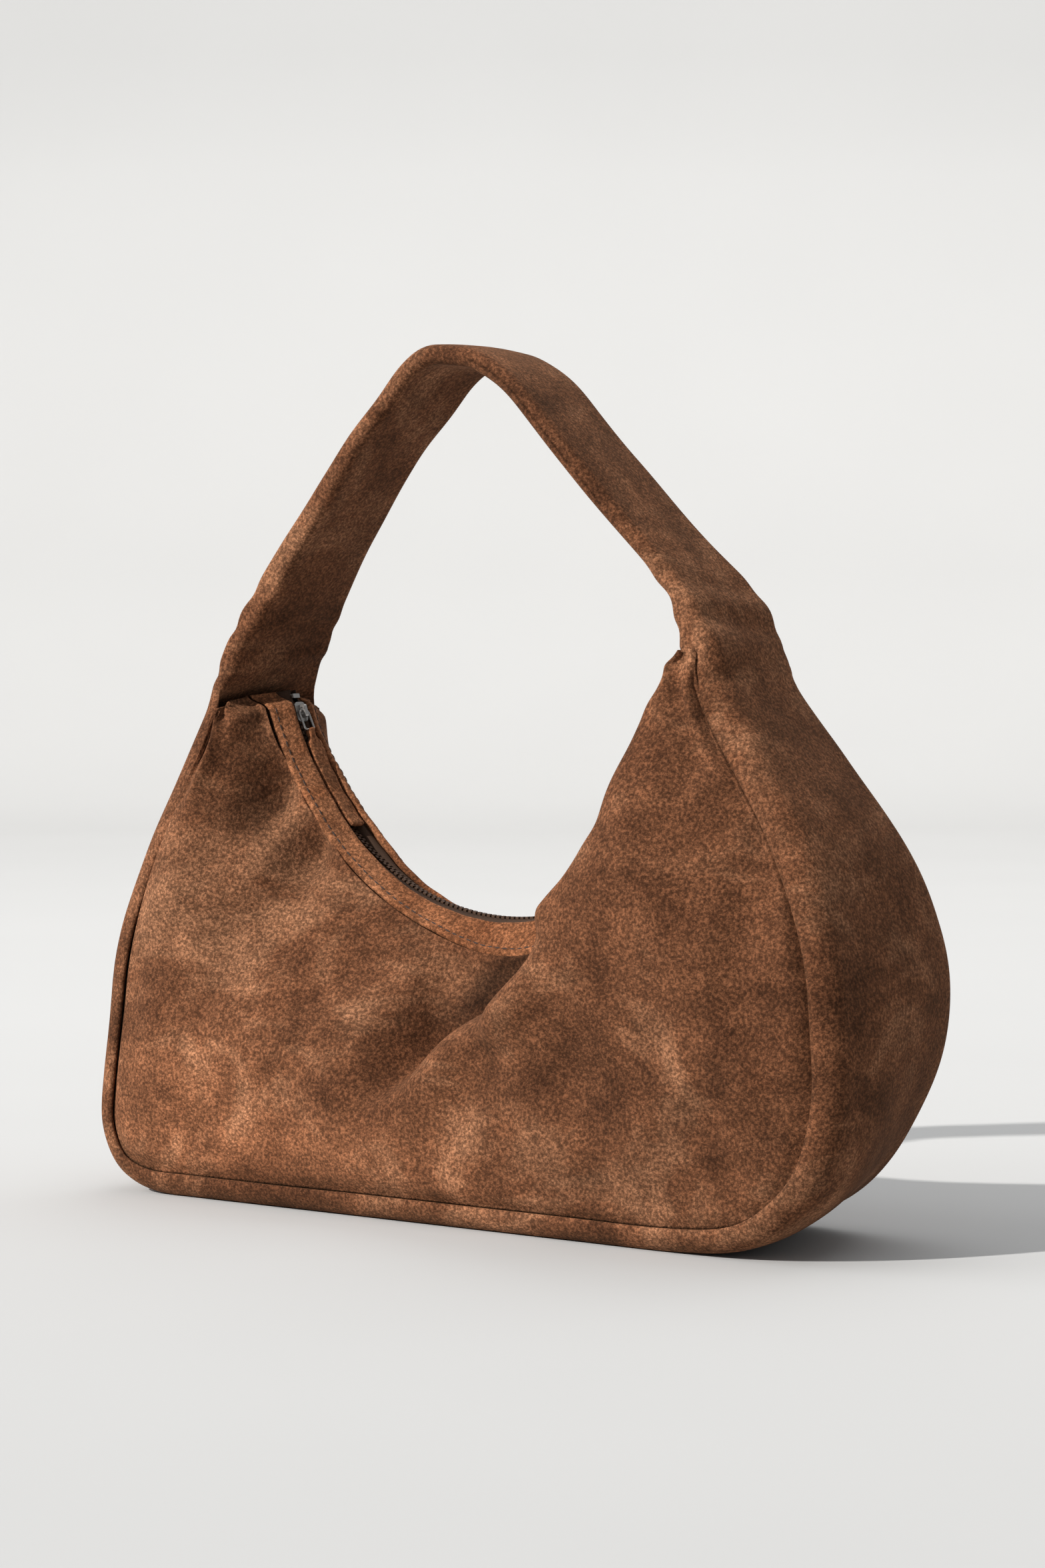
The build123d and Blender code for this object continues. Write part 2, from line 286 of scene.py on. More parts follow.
def suede(name, dark, middle, light, painted_shade_and_light_patches=()):
    """Brushed suede: a matt nap with lighter and darker strokes, mottling and a fine speckle.

    Each patch paints shade or light over a soft area: its middle, radii, angle and factor.
    """
    n = Nodes(name)
    strokes = n.noise(13, 6, 0.68, (1.0, 1.0, 1.4), 0.7)
    base = n.ramp(strokes, (0.36, dark), (0.50, middle), (0.64, light))
    mottle = n.ramp(n.noise(45, 5, 0.66), (0.32, 0.60), (0.50, 0.97), (0.68, 1.35))
    base = n.mix("MULTIPLY", 0.8, base, mottle)
    speckle = n.ramp(n.noise(640, 3, 0.75), (0.37, 0.34), (0.50, 0.92), (0.63, 2.15))
    base = n.mix("MULTIPLY", 0.8, base, speckle)
    # each patch multiplies the colour by its factor: painted shade below 1, painted light above 1
    for centre, radii, angle, factor in painted_shade_and_light_patches:
        shade = n.ramp(n.patch(centre, radii, angle), (0.0, 1.0), (0.7, factor))
        base = n.mix("MULTIPLY", 1.0, base, shade)
    n.link(base, "Base Color")
    n.set(Roughness=0.95, Sheen_Weight=0.12, Sheen_Roughness=0.5)
    n.set(Sheen_Tint=(0.62, 0.34, 0.18, 1), Specular_IOR_Level=0.08)
    coarse = n.bump(n.noise(130, 4, 0.6), 0.4, 1.4)
    n.link(n.bump(n.noise(620, 3, 0.7), 0.7, 0.7, coarse), "Normal")
    return n.material


def woven(name, colour, light, scale, sheen=0.2):
    """A plain weave: threads one way and the other, with a little wear."""
    n = Nodes(name)
    threads = n.mix("MULTIPLY", 1.0, n.wave(scale, "X", 0.4), n.wave(scale, "Z", 0.4))
    base = n.mix("MIX", n.ramp(threads, (0.1, 0.1), (0.9, 0.9)), colour, light)
    base = n.mix("MULTIPLY", 0.7, base, n.ramp(n.noise(60), (0.3, 0.6), (0.7, 1.1)))
    n.link(base, "Base Color")
    n.set(Roughness=0.85, Sheen_Weight=sheen, Specular_IOR_Level=0.2)
    n.link(n.bump(threads, 0.5, 0.25), "Normal")
    return n.material


def metal(name, colour, roughness):
    """Worn plated metal with fine scratches."""
    n = Nodes(name)
    scratches = n.noise(900, 3, 0.7, (1, 6, 1))
    n.link(n.ramp(scratches, (0.3, tuple(c * 0.82 for c in colour)), (0.7, colour)), "Base Color")
    n.link(n.ramp(scratches, (0.3, roughness * 0.7), (0.7, roughness * 1.5)), "Roughness")
    n.set(Metallic=1.0)
    n.link(n.bump(scratches, 0.15, 0.05), "Normal")
    return n.material


def moulded(name, colour, roughness, size):
    """Moulded plastic or board with a fine grain."""
    n = Nodes(name)
    grain = n.noise(size, 4, 0.6)
    n.link(n.ramp(grain, (0.3, tuple(c * 0.75 for c in colour)), (0.7, colour)), "Base Color")
    n.link(n.ramp(grain, (0.3, roughness * 0.85), (0.7, roughness)), "Roughness")
    n.set(Specular_IOR_Level=0.12)
    n.link(n.bump(grain, 0.3, 0.1), "Normal")
    return n.material


def paper(name, colour):
    """Smooth matt paper with a barely seen unevenness, and painted light: lighter higher up the wall.
    """
    n = Nodes(name)
    height = n.tree.nodes.new("ShaderNodeSeparateXYZ")
    n.tree.links.new(n.place, height.inputs[0])
    # painted light: the backdrop is painted lighter from 0.35 m up to 1 m high on the wall
    lighter = tuple(c * 1.16 for c in colour)
    base = n.ramp(height.outputs["Z"], (0.0, colour), (0.35, colour), (1.0, lighter))
    base = n.mix("MULTIPLY", 1.0, base, n.ramp(n.noise(3, 2, 0.5), (0.3, 0.985), (0.7, 1.0)))
    n.link(base, "Base Color")
    n.set(Roughness=0.9, Specular_IOR_Level=0.1)
    return n.material


BROWNS = (0.068, 0.0262, 0.0120), (0.112, 0.0450, 0.0212), (0.188, 0.0860, 0.0440)
SUEDE = suede("brown_suede", *BROWNS)
# Soft areas of the front panel painted darker or lighter than its shape alone makes them: the valley
# is shallower than the bag's, so its shade is partly painted shade, and so is the dents';
# the panel left of the valley and its lower right get painted shade, and its lower left and lower
# middle get painted light.
FRONT_PAINTED_SHADE_AND_LIGHT = (
    ((6, -30, 120), (56, 70, 19), -41, 0.28),
    ((-136, -50, 206), (15, 60, 26), 20, 0.52),
    ((-112, -55, 172), (14, 60, 28), 24, 0.52),
    ((-60, -50, 150), (60, 60, 12), 30, 0.75),
    ((-150, -60, 45), (85, 60, 60), 0, 1.75),
    ((-40, -60, 30), (110, 60, 40), 0, 1.40),
    ((120, -60, 60), (90, 60, 70), 0, 0.85),
)
FRONT_SUEDE_WITH_PAINTED_LIGHT = suede("brown_suede_front_painted_shade_and_light", *BROWNS, FRONT_PAINTED_SHADE_AND_LIGHT)
EDGE = suede("suede_edge", (0.112, 0.040, 0.0165), (0.175, 0.068, 0.0300), (0.243, 0.103, 0.0490))
LINING = woven("lining_cloth", (0.060, 0.038, 0.026), (0.100, 0.066, 0.045), 420)
WEBBING = woven("webbing", (0.030, 0.022, 0.017), (0.065, 0.048, 0.038), 170)
TAPE = woven("zip_tape", (0.045, 0.024, 0.014), (0.085, 0.048, 0.030), 700, 0.0)
PADDING = moulded("foam", (0.62, 0.60, 0.55), 0.95, 300)
BOARD = moulded("board", (0.080, 0.065, 0.055), 0.70, 240)
TEETH = moulded("moulded_teeth", (0.070, 0.038, 0.023), 0.62, 900)
THREAD = woven("sewing_thread", (0.030, 0.016, 0.010), (0.070, 0.040, 0.026), 1500)
NICKEL = metal("brushed_nickel", (0.42, 0.40, 0.38), 0.34)
PAPER = paper("pale_floor", (0.47, 0.47, 0.467))

CAD_LOOKS = {
    "zip_teeth_front": TEETH,
    "zip_teeth_back": TEETH,
    "zip_stop_left": NICKEL,
    "zip_stop_right": NICKEL,
    "slider_body": NICKEL,
    "slider_bridge": NICKEL,
    "puller_ring": NICKEL,
    "base_board": BOARD,
}
for node, material in CAD_LOOKS.items():
    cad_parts[node].data.materials.clear()
    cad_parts[node].data.materials.append(material)


def dress(piece, material, replaced=(), body="root"):
    """Gives a piece its material and slot, hides the CAD parts it stands for, and makes it ride."""
    piece.data.materials.clear()
    piece.data.materials.append(material)
    if replaced:
        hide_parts(*replaced)
    if body:
        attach(piece, body)
    return piece


# ---- the gusset and the strap --------------------------------------------------------------


def section(w, roll, depth, count):
    """One side of a band: y and inset from the rim, from its front end to its back one."""
    corner = min(roll, w)
    arc = np.linspace(0, math.pi / 2, 12)
    y = np.concatenate([[-w], -w + corner * (1 - np.cos(arc)), [0]])
    inset = np.concatenate([[depth], corner * (1 - np.sin(arc)), [0]])
    y, inset = np.append(y, -y[-2::-1]), np.append(inset, inset[-2::-1])
    length = np.concatenate([[0], np.cumsum(np.hypot(np.diff(y), np.diff(inset)))])
    at = np.linspace(0, length[-1], count)
    return np.interp(at, length, y), np.interp(at, length, inset)


def draw_in(grid, y):
    """Draws the base's right end in towards the back."""
    x, z = grid[..., 0].copy(), grid[..., 2].copy()
    drawn = smooth((y + 45) / 105) * smooth((150 - z) / 150) * smooth((x - 85) / 95)
    grid[..., 0] -= 26 * drawn
    grid[..., 2] += 3 * drawn * smooth((x - 120) / 35)
    return grid


def placed(rows, y, inset):
    """Points at steps of the ring, y across the band, and inset from its outside."""
    x, z = ring[rows, 0][:, None], ring[rows, 1][:, None]
    grid = np.empty((*np.broadcast(x, y).shape, 3))
    grid[..., 0] = x + ring_inward[rows, 0][:, None] * inset
    grid[..., 1] = y + lean(z)
    grid[..., 2] = z + ring_inward[rows, 1][:, None] * inset
    return draw_in(grid, y)


def band_points():
    """The closed sweep of the gusset and strap, with their folds and dents."""
    x, z = ring[:, 0], ring[:, 1]
    closing_z = np.where(x < 0, TONGUE_Z[-1] - 6, TONGUE_Z[1] - 22)
    strap_share = smooth((z - closing_z) / 26)
    thickness = STRAP_THICKNESS + np.where(x < 0, 4.5 * hump(z, 325, 60), 11.0 * hump(z, 290, 19))
    w = half_depth(z)
    rows = []
    for k in range(RING_STEPS):
        m = strap_share[k]
        roll = ROLL * (1 - m) + 4.4 * m
        outer_y, outer_in = section(w[k], roll, (1 - m) * (SEAM_INSET + 0.5) + m * 4.5, SECTION_STEPS)
        inner_w = w[k] - SKIN * (1 - m)
        c_y, c_in = section(inner_w, max(roll - SKIN, 2), SEAM_INSET + 0.5 - SKIN, SECTION_STEPS)
        flat_y, flat_in = section(w[k], 4.4, 4.5, SECTION_STEPS)
        inner_y = (1 - m) * c_y + m * flat_y
        inner_in = (1 - m) * (c_in + SKIN) + m * (thickness[k] - flat_in)
        ys = np.concatenate([outer_y, inner_y[::-1]])
        ins = np.concatenate([outer_in, inner_in[::-1]])
        rows.append(np.stack([ys, ins], axis=1))
    local = np.array(rows)
    y, inset = local[..., 0], local[..., 1]
    across = y / w[:, None]
    body = (1 - strap_share) * smooth((z - 8) / 50)
    side_bulge = (3.0 * body)[:, None] * (1 - across**2)
    puffy = (0.8 * strap_share)[:, None] * (1 - across**2)
    push = inset - side_bulge - puffy * np.where(inset < STRAP_THICKNESS / 2, 1, -1)
    return placed(np.arange(RING_STEPS), y, push)


# folds across the band where the strap bends: side, height, width, depth and slope in y
BAND_FOLDS = (
    (-1, 292, 4.5, 1.7, 0.10),
    (-1, 277, 4.0, 1.8, -0.16),
    (-1, 306, 5.0, 1.4, 0.20),
    (1, 299, 6.0, 2.6, 0.12),
    (1, 279, 5.0, 1.6, -0.20),
    (1, 316, 5.0, 1.2, 0.10),
)


def wrinkle(grid, rows):
    """Soft unevenness all round, and folds where the strap bends into the body."""
    x, y, z = grid[..., 0], grid[..., 1], grid[..., 2]
    push = 2.4 * rough(grid, 60, 1, 1) * smooth((z - 6) / 30)
    for side, height, width, depth, slope in BAND_FOLDS:
        push += (np.sign(x) == side) * depth * hump(z + slope * y, height, width)
    grid[..., 0] += ring_inward[rows, None, 0] * push
    grid[..., 2] += ring_inward[rows, None, 1] * push
    grid[..., 2] = np.maximum(z, 0.0)
    return grid


band = wrinkle(band_points(), np.arange(RING_STEPS))
gusset = grid_mesh("gusset_and_strap", band, True, True)
dress(
    gusset,
    SUEDE,
    ("gusset_bottom", "gusset_left", "gusset_right", "strap_root_left", "strap_root_right",
     "strap_outer", "strap_inner"),
    body=None,
)  # fmt: skip
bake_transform(gusset)


# ---- the panels -----------------------------------------------------------------------------


def tongue_index(side):
    """The ring's step where a side's panel ends meet the strap."""
    x, z = ring[:, 0], ring[:, 1]
    near = np.abs(z - TONGUE_Z[side]) + np.where(np.sign(x) == side, 0, 1e6)
    return int(np.argmin(near))


RIGHT_END, LEFT_END = tongue_index(1), tongue_index(-1)


def seam_curve(inset):
    """The panels' seam from the left tip, under the bag, to the right tip."""
    run = np.arange(LEFT_END - RING_STEPS, RIGHT_END + 1)
    at = np.linspace(run[0], run[-1], ACROSS_STEPS)
    points = ring[run] + ring_inward[run] * inset
    found = np.stack([np.interp(at, run, points[:, k]) for k in range(2)], axis=1)
    found[:, 1] = np.maximum(found[:, 1], inset * 0.5)
    return found


def facing_drop(a, side):
    """How far the facing's outer edge lies below its inner one, and how far both are raised."""
    if side > 0:
        raised = 6.5 * hump(a, -0.62, 0.30) + 3 * hump(a, 0.6, 0.3) - 4.5 * hump(a, -0.04, 0.36)
        return 6.5 + 0 * a, raised - 10 * smooth((np.abs(a) - 0.955) / 0.045)
    raised = 3.5 * hump(a, -0.72, 0.28) - 3.0 * hump(a, 0.0, 0.38)
    return 6.0 + 9.0 * hump(a, 0.10, 0.24), raised - 10 * smooth((np.abs(a) - 0.955) / 0.045)


def panel_points(side, inset=0.0):
    """The front (side -1) or back (side 1) panel, from the zip down to its seam."""
    a = np.linspace(-1, 1, ACROSS_STEPS)[:, None]
    d = np.linspace(0, 1, DOWN_STEPS)[None, :] ** 1.15
    angle = np.radians(ZIP_HALF_ANGLE) * a
    outward = np.concatenate([np.sin(angle), -np.cos(angle)], axis=1)[:, None, :]
    drop, raised = facing_drop(a, side)
    drop = (drop - raised - 0.4 + inset) * np.ones_like(a)
    start = np.array(ZIP_CENTRE) + (ZIP_RADIUS + drop)[..., None] * outward
    seam = seam_curve(SEAM_INSET + inset)[:, None, :]
    w = half_depth(seam[..., 1]) - 0.6 - inset
    plane = start + (seam - start) * d[..., None]
    front = side < 0
    sharp = 2.4 + (4.2 * smooth((a - 0.02) / 0.3) if front else 0)
    top_y = FACING[1] - 1.2 - inset * 0.5
    y = top_y + (w - top_y) * (1 - (1 - d) ** sharp)
    bulge = 11 * np.sin(np.pi * d**0.8) * np.sqrt(1 - np.abs(a) ** 3)
    if front:
        bulge = bulge + 9 * hump(a, 0.48, 0.26) * hump(d, 0.32, 0.30)
        bulge = bulge + 7 * hump(a, -0.45, 0.22) * hump(d, 0.60, 0.28)
        plane = plane + crest_shift(a, d, start, seam)
    grid = np.empty((*y.shape, 3))
    grid[..., 0], grid[..., 2] = plane[..., 0], plane[..., 1]
    grid[..., 1] = side * (y + bulge)
    return draw_in(grid, side * y), a, d


def crest_shift(a, d, start, seam):
    """Carries the front panel's upper part out to its crest, right of the fold."""
    at = 0.2
    shares, xs, zs = np.array(CREST).T
    crest = np.stack([np.interp(a, shares, xs), np.interp(a, shares, zs)], axis=-1)
    shift = crest - (start + (seam - start) * at)
    shift = shift * smooth((a - 0.02) / 0.16)[..., None]
    for _ in range(12):
        ends = np.concatenate([shift[:1], shift, shift[-1:]])
        shift = (ends[:-2] + 2 * shift + ends[2:]) / 4
    reach = np.where(d < at, smooth(d / at), smooth((0.85 - d) / (0.85 - at)))
    return shift * reach[..., None]


# the front panel's fold runs from its head beside the zip to its foot; x and z
FOLD_HEAD = (30.0, 128.0)
FOLD_FOOT = (-46.0, 62.0)
# the front panel's dents: x, z, half width, half height and depth
DENTS = (
    (-136, 206, 9, 16, 13),
    (-116, 176, 11, 16, 14),
    (-152, 176, 17, 12, 5),
    (-150, 120, 24, 30, 4),
    (-60, 122, 26, 12, 4),
    (70, 84, 34, 18, 4),
    (140, 226, 7, 16, 4),
    (176, 150, 12, 30, 4),
)


def fold_front(grid, d):
    """The valley that runs down from the zip to the left, and the dents round it."""
    x, z = grid[..., 0], grid[..., 2]
    # along runs down the fold from its head beside the zip; off is the distance across it
    head, foot = np.array(FOLD_HEAD), np.array(FOLD_FOOT)
    way = unit(foot - head)
    along = (x - head[0]) * way[0] + (z - head[1]) * way[1]
    off = (x - head[0]) * -way[1] + (z - head[1]) * way[0]
    off = off + 9 * hump(along, 42, 34)
    reach = smooth((along + 46) / 46) * smooth((118 - along) / 92)
    upper = np.where(off < 0, np.exp(-((off / 24) ** 2)), np.exp(-((off / 8) ** 2)))
    deep = 44 * reach * upper
    ends = smooth(d / 0.12) * smooth((1 - d) / 0.3)
    grid[..., 1] += deep * ends
    grid[..., 2] -= 8 * reach * upper * smooth((1 - d) / 0.5) * smooth(d / 0.15)
    grid[..., 1] -= 9 * reach * hump(off, 22, 14) * ends
    # the valley's wall hangs from the facing and never passes under the zip
    least = FACING[1] + 1 + 8 * smooth(d / 0.25)
    over = least + grid[..., 1]
    grid[..., 1] = np.where(over > -6, -least - 6 * np.exp(-(over + 6) / 6), grid[..., 1])
    for dent_x, dent_z, width, height, depth in DENTS:
        dent = np.exp(-(((x - dent_x) / width) ** 2) - ((z - dent_z) / height) ** 2)
        grid[..., 1] += depth * dent * smooth((1 - d) / 0.15)
    return grid


def tip_wrinkles(grid, a, d, side):
    """Small gathered ridges where the panel's two ends meet the strap."""
    near = smooth((np.abs(a) - 0.80) / 0.14) * smooth((1 - d) / 0.1) * smooth(d / 0.1)
    ridges = np.sin(d * 17 + a * 16) + 0.6 * np.sin(d * 9 - a * 31)
    grid[..., 1] += side * 1.7 * near * ridges
    return grid


def uneven(grid, d, side, seed):
    """The soft unevenness of hanging suede, fading out at the seams."""
    coarse = rough(grid[::3, ::3], 70, seed, 2)
    fine = rough(grid[::3, ::3], 26, seed + 1, 2)
    push = np.repeat(np.repeat(4.2 * coarse + 1.7 * fine, 3, 0), 3, 1)
    push = push[: grid.shape[0], : grid.shape[1]]
    for axis in (0, 1):
        for _ in range(5):
            padded = np.concatenate([push.take([0], axis), push, push.take([-1], axis)], axis)
            low = padded.take(range(0, push.shape[axis]), axis)
            high = padded.take(range(2, push.shape[axis] + 2), axis)
            push = (low + 2 * push + high) / 4
    fade = smooth(d / 0.12) * smooth((1 - d) / 0.10)
    grid[..., 1] += side * push * fade
    return grid


def shaped_panel(side, seed):
    """The whole shape of one suede panel, with its folds, dents and tucked seam."""
    grid, a, d = panel_points(side)
    if side < 0:
        grid = fold_front(grid, d)
    grid = tip_wrinkles(grid, a, d, side)
    grid = uneven(grid, d, side, seed)
    # the last few millimetres turn in to the seam, which lies in a shallow groove
    grid[..., 1] -= side * 2.6 * smooth((d - 0.94) / 0.06)
    return grid


def inside_of(grid, side, depth):
    """The surface this far inside a panel's."""
    across, down = np.gradient(grid, axis=0), np.gradient(grid, axis=1)
    normal = unit(np.cross(across, down))
    for axis in (0, 1):
        for _ in range(3):
            normal = (np.roll(normal, 1, axis) + 2 * normal + np.roll(normal, -1, axis)) / 4
    outwards = np.sign(np.sum(normal[..., 1]) * side)
    return grid - outwards * depth * normal


PANELS = {side: shaped_panel(side, seed) for side, seed in ((-1, 3), (1, 7))}
for side, name in ((-1, "front"), (1, "back")):
    grid = PANELS[side] if side < 0 else PANELS[side][::-1]
    panel = thicken(grid_mesh(f"suede_panel_{name}", grid), SKIN, offset=1)
    # the front panel's suede carries painted shade and painted light in soft areas
    dress(panel, FRONT_SUEDE_WITH_PAINTED_LIGHT if side < 0 else SUEDE, (f"{name}_panel",))


# ---- the zip's facings and tapes -----------------------------------------------------------


def along_zip(angles, y, height):
    """Points beside the zip: angle along its arc, y, and height towards the arc's centre."""
    t = np.radians(angles)
    reach = ZIP_RADIUS - height
    x = ZIP_CENTRE[0] + reach * np.sin(t)
    z = ZIP_CENTRE[1] - reach * np.cos(t)
    return np.stack(np.broadcast_arrays(x, y, z), axis=-1)


# the facing's outline: shares of its width, and heights above the slope of its top
FACING_LINE = (
    (0.26, -2.2), (0.07, -1.2), (0.0, 0.4), (0.03, 2.0), (0.14, 3.0), (0.42, 3.3), (0.67, 3.1),
    (0.85, 2.8), (0.96, 2.2), (1.02, 0.8), (0.98, -0.8), (0.80, -1.5), (0.50, -1.5),
)  # fmt: skip


def facing_points(side, shares, heights, steps):
    """Points across the sloping facing, all along the zip."""
    a = np.linspace(-1, 1, steps)[:, None]
    drop, raised = facing_drop(a, side)
    wave = 0.5 * np.sin(a * 24 + side) + 0.3 * np.sin(a * 65)
    shares, heights = np.array(shares)[None, :], np.array(heights)[None, :]
    y = FACING[0] + (FACING[1] - FACING[0]) * shares
    height = heights + (raised - drop * smooth(shares) ** 0.8) + 0.4 * wave
    height = height * smooth((shares + 0.4) / 0.5)
    return along_zip(ZIP_HALF_ANGLE * a, side * (y + 0.2 * wave), height)


for name, side in (("front", -1), ("back", 1)):
    shares, heights = zip(*FACING_LINE)
    grid = facing_points(side, shares, heights, 260)
    if side > 0:
        grid = grid[::-1]
    strip = grid_mesh(f"facing_{name}", grid, close_columns=True)
    subdivision = strip.modifiers.new("smooth", "SUBSURF")
    subdivision.levels = subdivision.render_levels = 1
    apply_modifiers(strip)
    dress(strip, EDGE, (f"{name}_facing",))
    grid = facing_points(side, (-0.33, -0.1, 0.15, 0.45, 0.7), (0, -0.5, -1.9, -2.1, -2.1), 160)
    tape = thicken(grid_mesh(f"tape_{name}", grid), 0.5, offset=0)
    dress(tape, TAPE, (f"zip_tape_{name}",))


def stitches(name, rows, pitch, length, radius, material):
    """Short raised threads along several rows of points, all in one mesh."""
    verts, faces = [], []
    for row in rows:
        steps = np.concatenate([[0], np.cumsum(np.linalg.norm(np.diff(row, axis=0), axis=1))])
        for start in np.arange(pitch, steps[-1] - pitch, pitch):
            ends = [np.array([np.interp(s, steps, row[:, k]) for k in range(3)])
                    for s in (start, start + length / 2, start + length)]  # fmt: skip
            way = unit(ends[2] - ends[0])
            side = unit(np.cross(way, [0.0, 1.0, 0.3]))
            up = np.cross(side, way)
            base = len(verts)
            for end, size in zip(ends, (0.45, 1.0, 0.45)):
                for turn in range(6):
                    t = turn * math.pi / 3
                    verts.append(end + radius * size * (side * math.cos(t) + up * math.sin(t)))
            for ring_at in (0, 6):
                for turn in range(6):
                    low, high = base + ring_at + turn, base + ring_at + (turn + 1) % 6
                    faces.append((low, high, high + 6, low + 6))
    mesh = bpy.data.meshes.new(name)
    mesh.from_pydata((np.array(verts) * MM).tolist(), [], faces)
    mesh.polygons.foreach_set("use_smooth", [True] * len(mesh.polygons))
    piece = bpy.data.objects.new(name, mesh)
    bpy.context.scene.collection.objects.link(piece)
    return dress(piece, material)


stitches(
    "facing_stitches",
    [facing_points(side, (0.84,), (2.95,), 200)[3:-3, 0] for side in (-1, 1)],
    4.6,
    3.2,
    0.42,
    THREAD,
)


# ---- the inside -----------------------------------------------------------------------------


for side, name in ((-1, "front"), (1, "back")):
    grid = inside_of(PANELS[side], side, 3.4)[8:-8:2, 3:-3:2]
    cloth = grid_mesh(f"lining_cloth_{name}", grid if side < 0 else grid[::-1])
    dress(thicken(cloth, 0.5, offset=0), LINING, (f"lining_{name}",))
pocket = inside_of(PANELS[1], 1, 5.2)[90:210:3, 22:80:2][::-1]
pocket = thicken(grid_mesh("lining_cloth_pocket", pocket), 0.5, offset=0)
dress(pocket, LINING, ("lining_pocket",))


# ---- the pull tab ---------------------------------------------------------------------------


TAB_LENGTHWISE = 60
TAB_AROUND = 20


def make_tab():
    """The doubled suede strip on the wire loop, a little curved, with blunt soft ends."""
    low, high = (np.array(v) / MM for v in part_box("pull_tab"))
    top = np.array([low[0] + 2.4, 0, high[2] - 2.4])
    foot = np.array([high[0] - 1.4, 0, low[2] + 1.2])
    rows = []
    way = unit(foot - top)
    side_way = np.array([way[2], 0, -way[0]])
    for t in np.linspace(0, 1, TAB_LENGTHWISE):
        narrow = 2.1 + 2.9 * smooth((t - 0.07) / 0.06)
        end = 1 - 0.35 * smooth((t - 0.985) / 0.015)
        half_width = narrow * end
        half_thick = (1.5 + 0.75 * hump(t, 0.0, 0.05)) * end
        bend = 3.0 * math.sin(math.pi * t) + 0.25 * math.sin(t * 23)
        middle = top + (foot - top) * t + side_way * bend
        turn = np.linspace(0, 2 * math.pi, TAB_AROUND, endpoint=False)
        c, s = np.cos(turn), np.sin(turn)
        across = np.sign(c) * np.abs(c) ** 0.45 * half_width
        thick = np.sign(s) * np.abs(s) ** 0.45 * half_thick
        rows.append(middle + across[:, None] * [0, 1, 0] + thick[:, None] * side_way)
    grid = np.array(rows)
    tab = grid_mesh("suede_tab", grid, close_columns=True)
    count = TAB_LENGTHWISE * TAB_AROUND
    caps = [list(range(TAB_AROUND)), list(range(count - TAB_AROUND, count))[::-1]]
    points = [v.co[:] for v in tab.data.vertices]
    faces = [tuple(p.vertices) for p in tab.data.polygons] + [tuple(c) for c in caps]
    mesh = bpy.data.meshes.new("suede_tab")
    mesh.from_pydata(points, [], faces)
    mesh.polygons.foreach_set("use_smooth", [True] * len(mesh.polygons))
    tab.data = mesh
    return dress(tab, EDGE, ("pull_tab",), body="tab")


make_tab()


# ---- padding inside the strap -----------------------------------------------------------------


def strap_padding():
    """The foam core, between the strap's two suede layers."""
    keep = np.where(ring[:, 1] > FOLD_AXIS_Z - 8)[0]
    sections = [section(w, 1.6, 1.8, 12) for w in half_depth(ring[keep, 1]) - 6]
    ys = np.array([np.concatenate([y, y[::-1]]) for y, _ in sections])
    insets = np.array([np.concatenate([3.2 + i, 6.0 - i[::-1]]) for _, i in sections])
    grid = wrinkle(placed(keep, ys, insets), keep)
    core = grid_mesh("strap_padding", grid, close_columns=True)
    dress(core, PADDING, ("strap_core",), body=None)
    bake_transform(core)


strap_padding()


# ---- the cloth and webbing inside the gusset --------------------------------------------------


def inner_band(name, rows, inset, margin, thickness):
    """A cloth strip inside the gusset, a margin short of its seams."""
    ys = np.linspace(-1, 1, 25)[None, :] * (half_depth(ring[rows, 1]) - margin)[:, None]
    return thicken(grid_mesh(name, placed(rows, ys, inset)), thickness, offset=0)


ANCHOR_HEIGHTS = (214, 242)
LINING_TOP_Z = 206


def strap_anchor(name, side):
    """The webbing patch inside the top of one side of the gusset."""
    x, z = ring[:, 0], ring[:, 1]
    low, high = ANCHOR_HEIGHTS
    rows = np.where((np.sign(x) == side) & (z > low) & (z < high))[0]
    patch = inner_band(name, rows, 6.5, 18, 1.2)
    dress(patch, WEBBING, (name.replace("webbing", "strap_anchor"),))


strap_anchor("webbing_left", -1)
strap_anchor("webbing_right", 1)

run = np.arange(LEFT_END - RING_STEPS, RIGHT_END + 1)
run = run[ring[run, 1] < LINING_TOP_Z]
dress(inner_band("lining_cloth_gusset", run, 5.6, 8, 0.5), LINING, ("lining_gusset",))


# ---- the camera, the floor and the light ----------------------------------------------------

# places and sizes from here on are in metres
CAMERA_PLACE = (1.1796, -1.618, 0.310)
CAMERA_AIM = (0.004, 0, 0.217)
CAMERA_LENS = 91.84
CAMERA_SENSOR_HEIGHT = 36
FLOOR_NEAR = -6.0
FLOOR_FAR = 3.4
WALL_RADIUS = 1.2
WALL_TOP = 4.0
FLOOR_HALF_WIDTH = 8
SUN_WAY = (0.340, 0.770, -0.540)

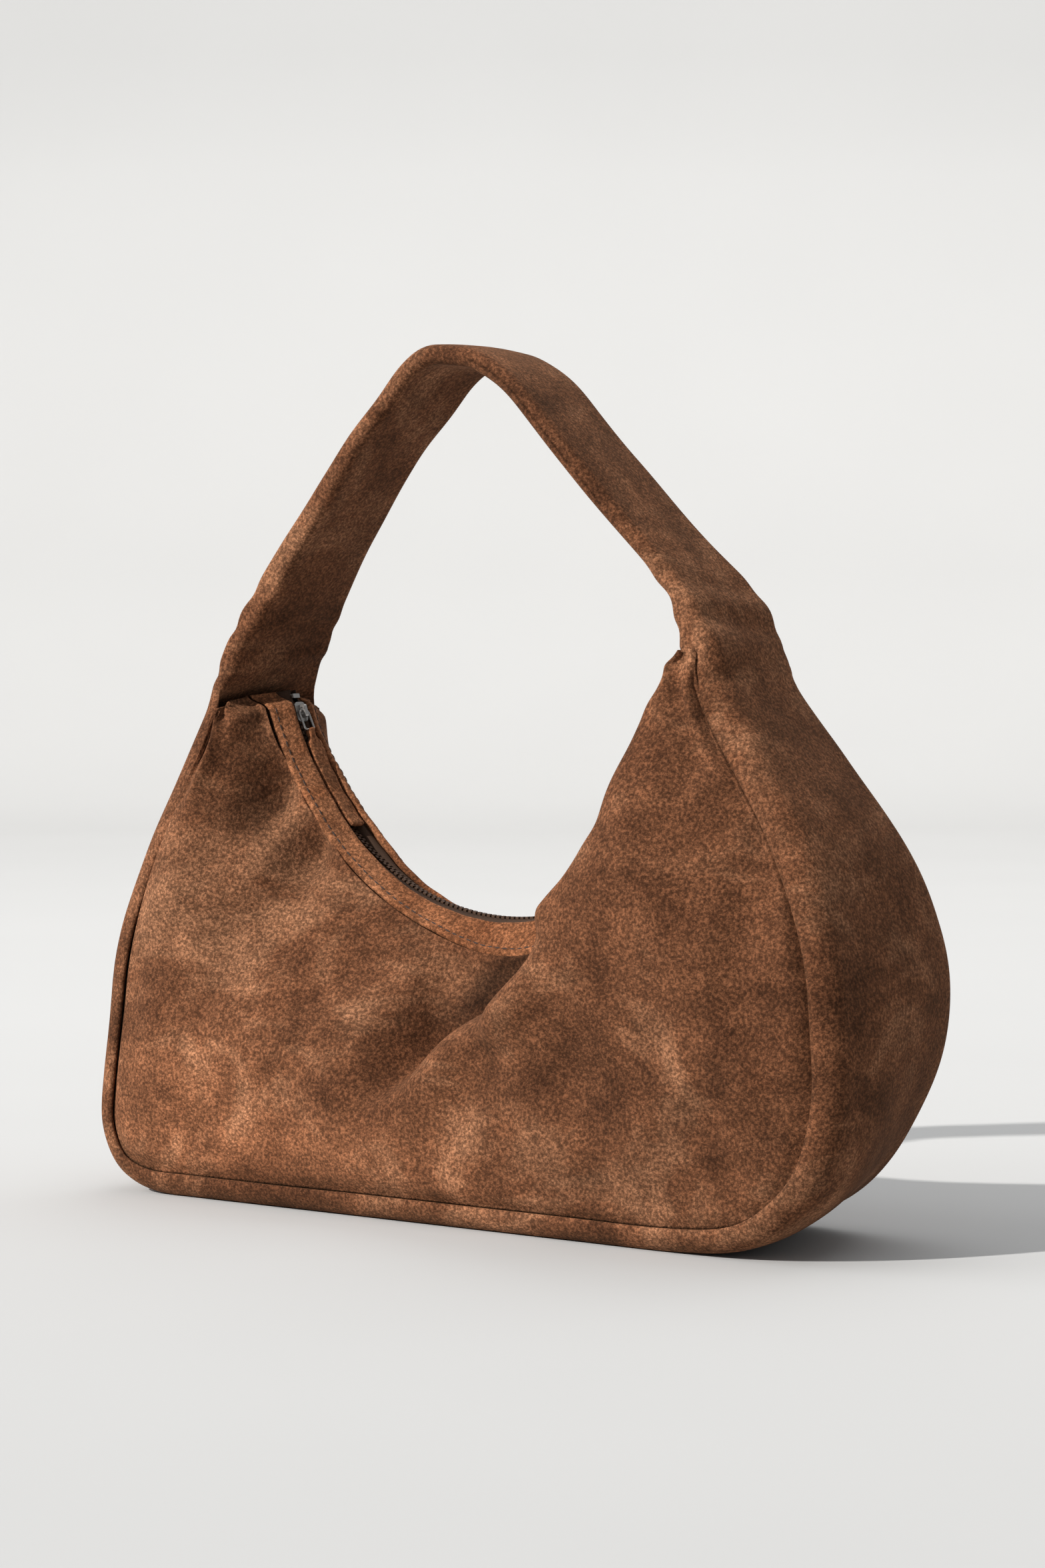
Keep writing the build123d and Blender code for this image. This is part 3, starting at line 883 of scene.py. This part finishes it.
camera_data = bpy.data.cameras.new("camera")
camera_data.sensor_fit = "VERTICAL"
camera_data.sensor_height = CAMERA_SENSOR_HEIGHT
camera_data.lens = CAMERA_LENS
camera_data.clip_end = 50
camera = bpy.data.objects.new("camera", camera_data)
bpy.context.scene.collection.objects.link(camera)
camera.location = CAMERA_PLACE
target = Vector(CAMERA_AIM)
camera.rotation_euler = (target - camera.location).to_track_quat("-Z", "Y").to_euler()
bpy.context.scene.camera = camera


def make_backdrop():
    """A pale floor that curves up into a wall behind the bag."""
    profile = [(FLOOR_NEAR, 0.0), (FLOOR_FAR, 0.0)]
    for t in np.linspace(0.1, 1.57, 16):
        profile.append((FLOOR_FAR + WALL_RADIUS * math.sin(t), WALL_RADIUS * (1 - math.cos(t))))
    profile.append((FLOOR_FAR + WALL_RADIUS, WALL_TOP))
    away = unit(np.array([target.x - camera.location.x, target.y - camera.location.y]))
    right = np.array([-away[1], away[0]])
    rows = []
    for across in np.linspace(-FLOOR_HALF_WIDTH, FLOOR_HALF_WIDTH, 5):
        rows.append([(*(away * back + right * across), up) for back, up in profile])
    piece = grid_mesh("backdrop", np.array(rows)[::-1] / MM)
    piece.data.materials.append(PAPER)


make_backdrop()


def add_light(name, place, aim, size, power):
    """A square soft light that points at a place."""
    data = bpy.data.lights.new(name, "AREA")
    data.size = size
    data.energy = power
    light = bpy.data.objects.new(name, data)
    bpy.context.scene.collection.objects.link(light)
    light.location = place
    light.rotation_euler = (Vector(aim) - Vector(place)).to_track_quat("-Z", "Y").to_euler()


add_light("window", (-2.8, -1.6, 1.9), (0, 0, 0.1), 2.6, 60)
add_light("overhead", (-0.2, 1.5, 3.3), (-0.1, 1.3, 0), 3.4, 72)
sun_data = bpy.data.lights.new("sun", "SUN")
sun_data.energy = 4.5
sun_data.angle = math.radians(1.6)
sun_data.color = (1.0, 0.975, 0.94)
sun = bpy.data.objects.new("sun", sun_data)
bpy.context.scene.collection.objects.link(sun)
sun.rotation_euler = Vector(SUN_WAY).to_track_quat("-Z", "Y").to_euler()
world = bpy.data.worlds.new("studio")
world.use_nodes = True
world.node_tree.nodes["Background"].inputs["Color"].default_value = (0.94, 0.97, 1.0, 1)
world.node_tree.nodes["Background"].inputs["Strength"].default_value = 0.36
bpy.context.scene.world = world
bpy.context.scene.view_settings.view_transform = "Standard"
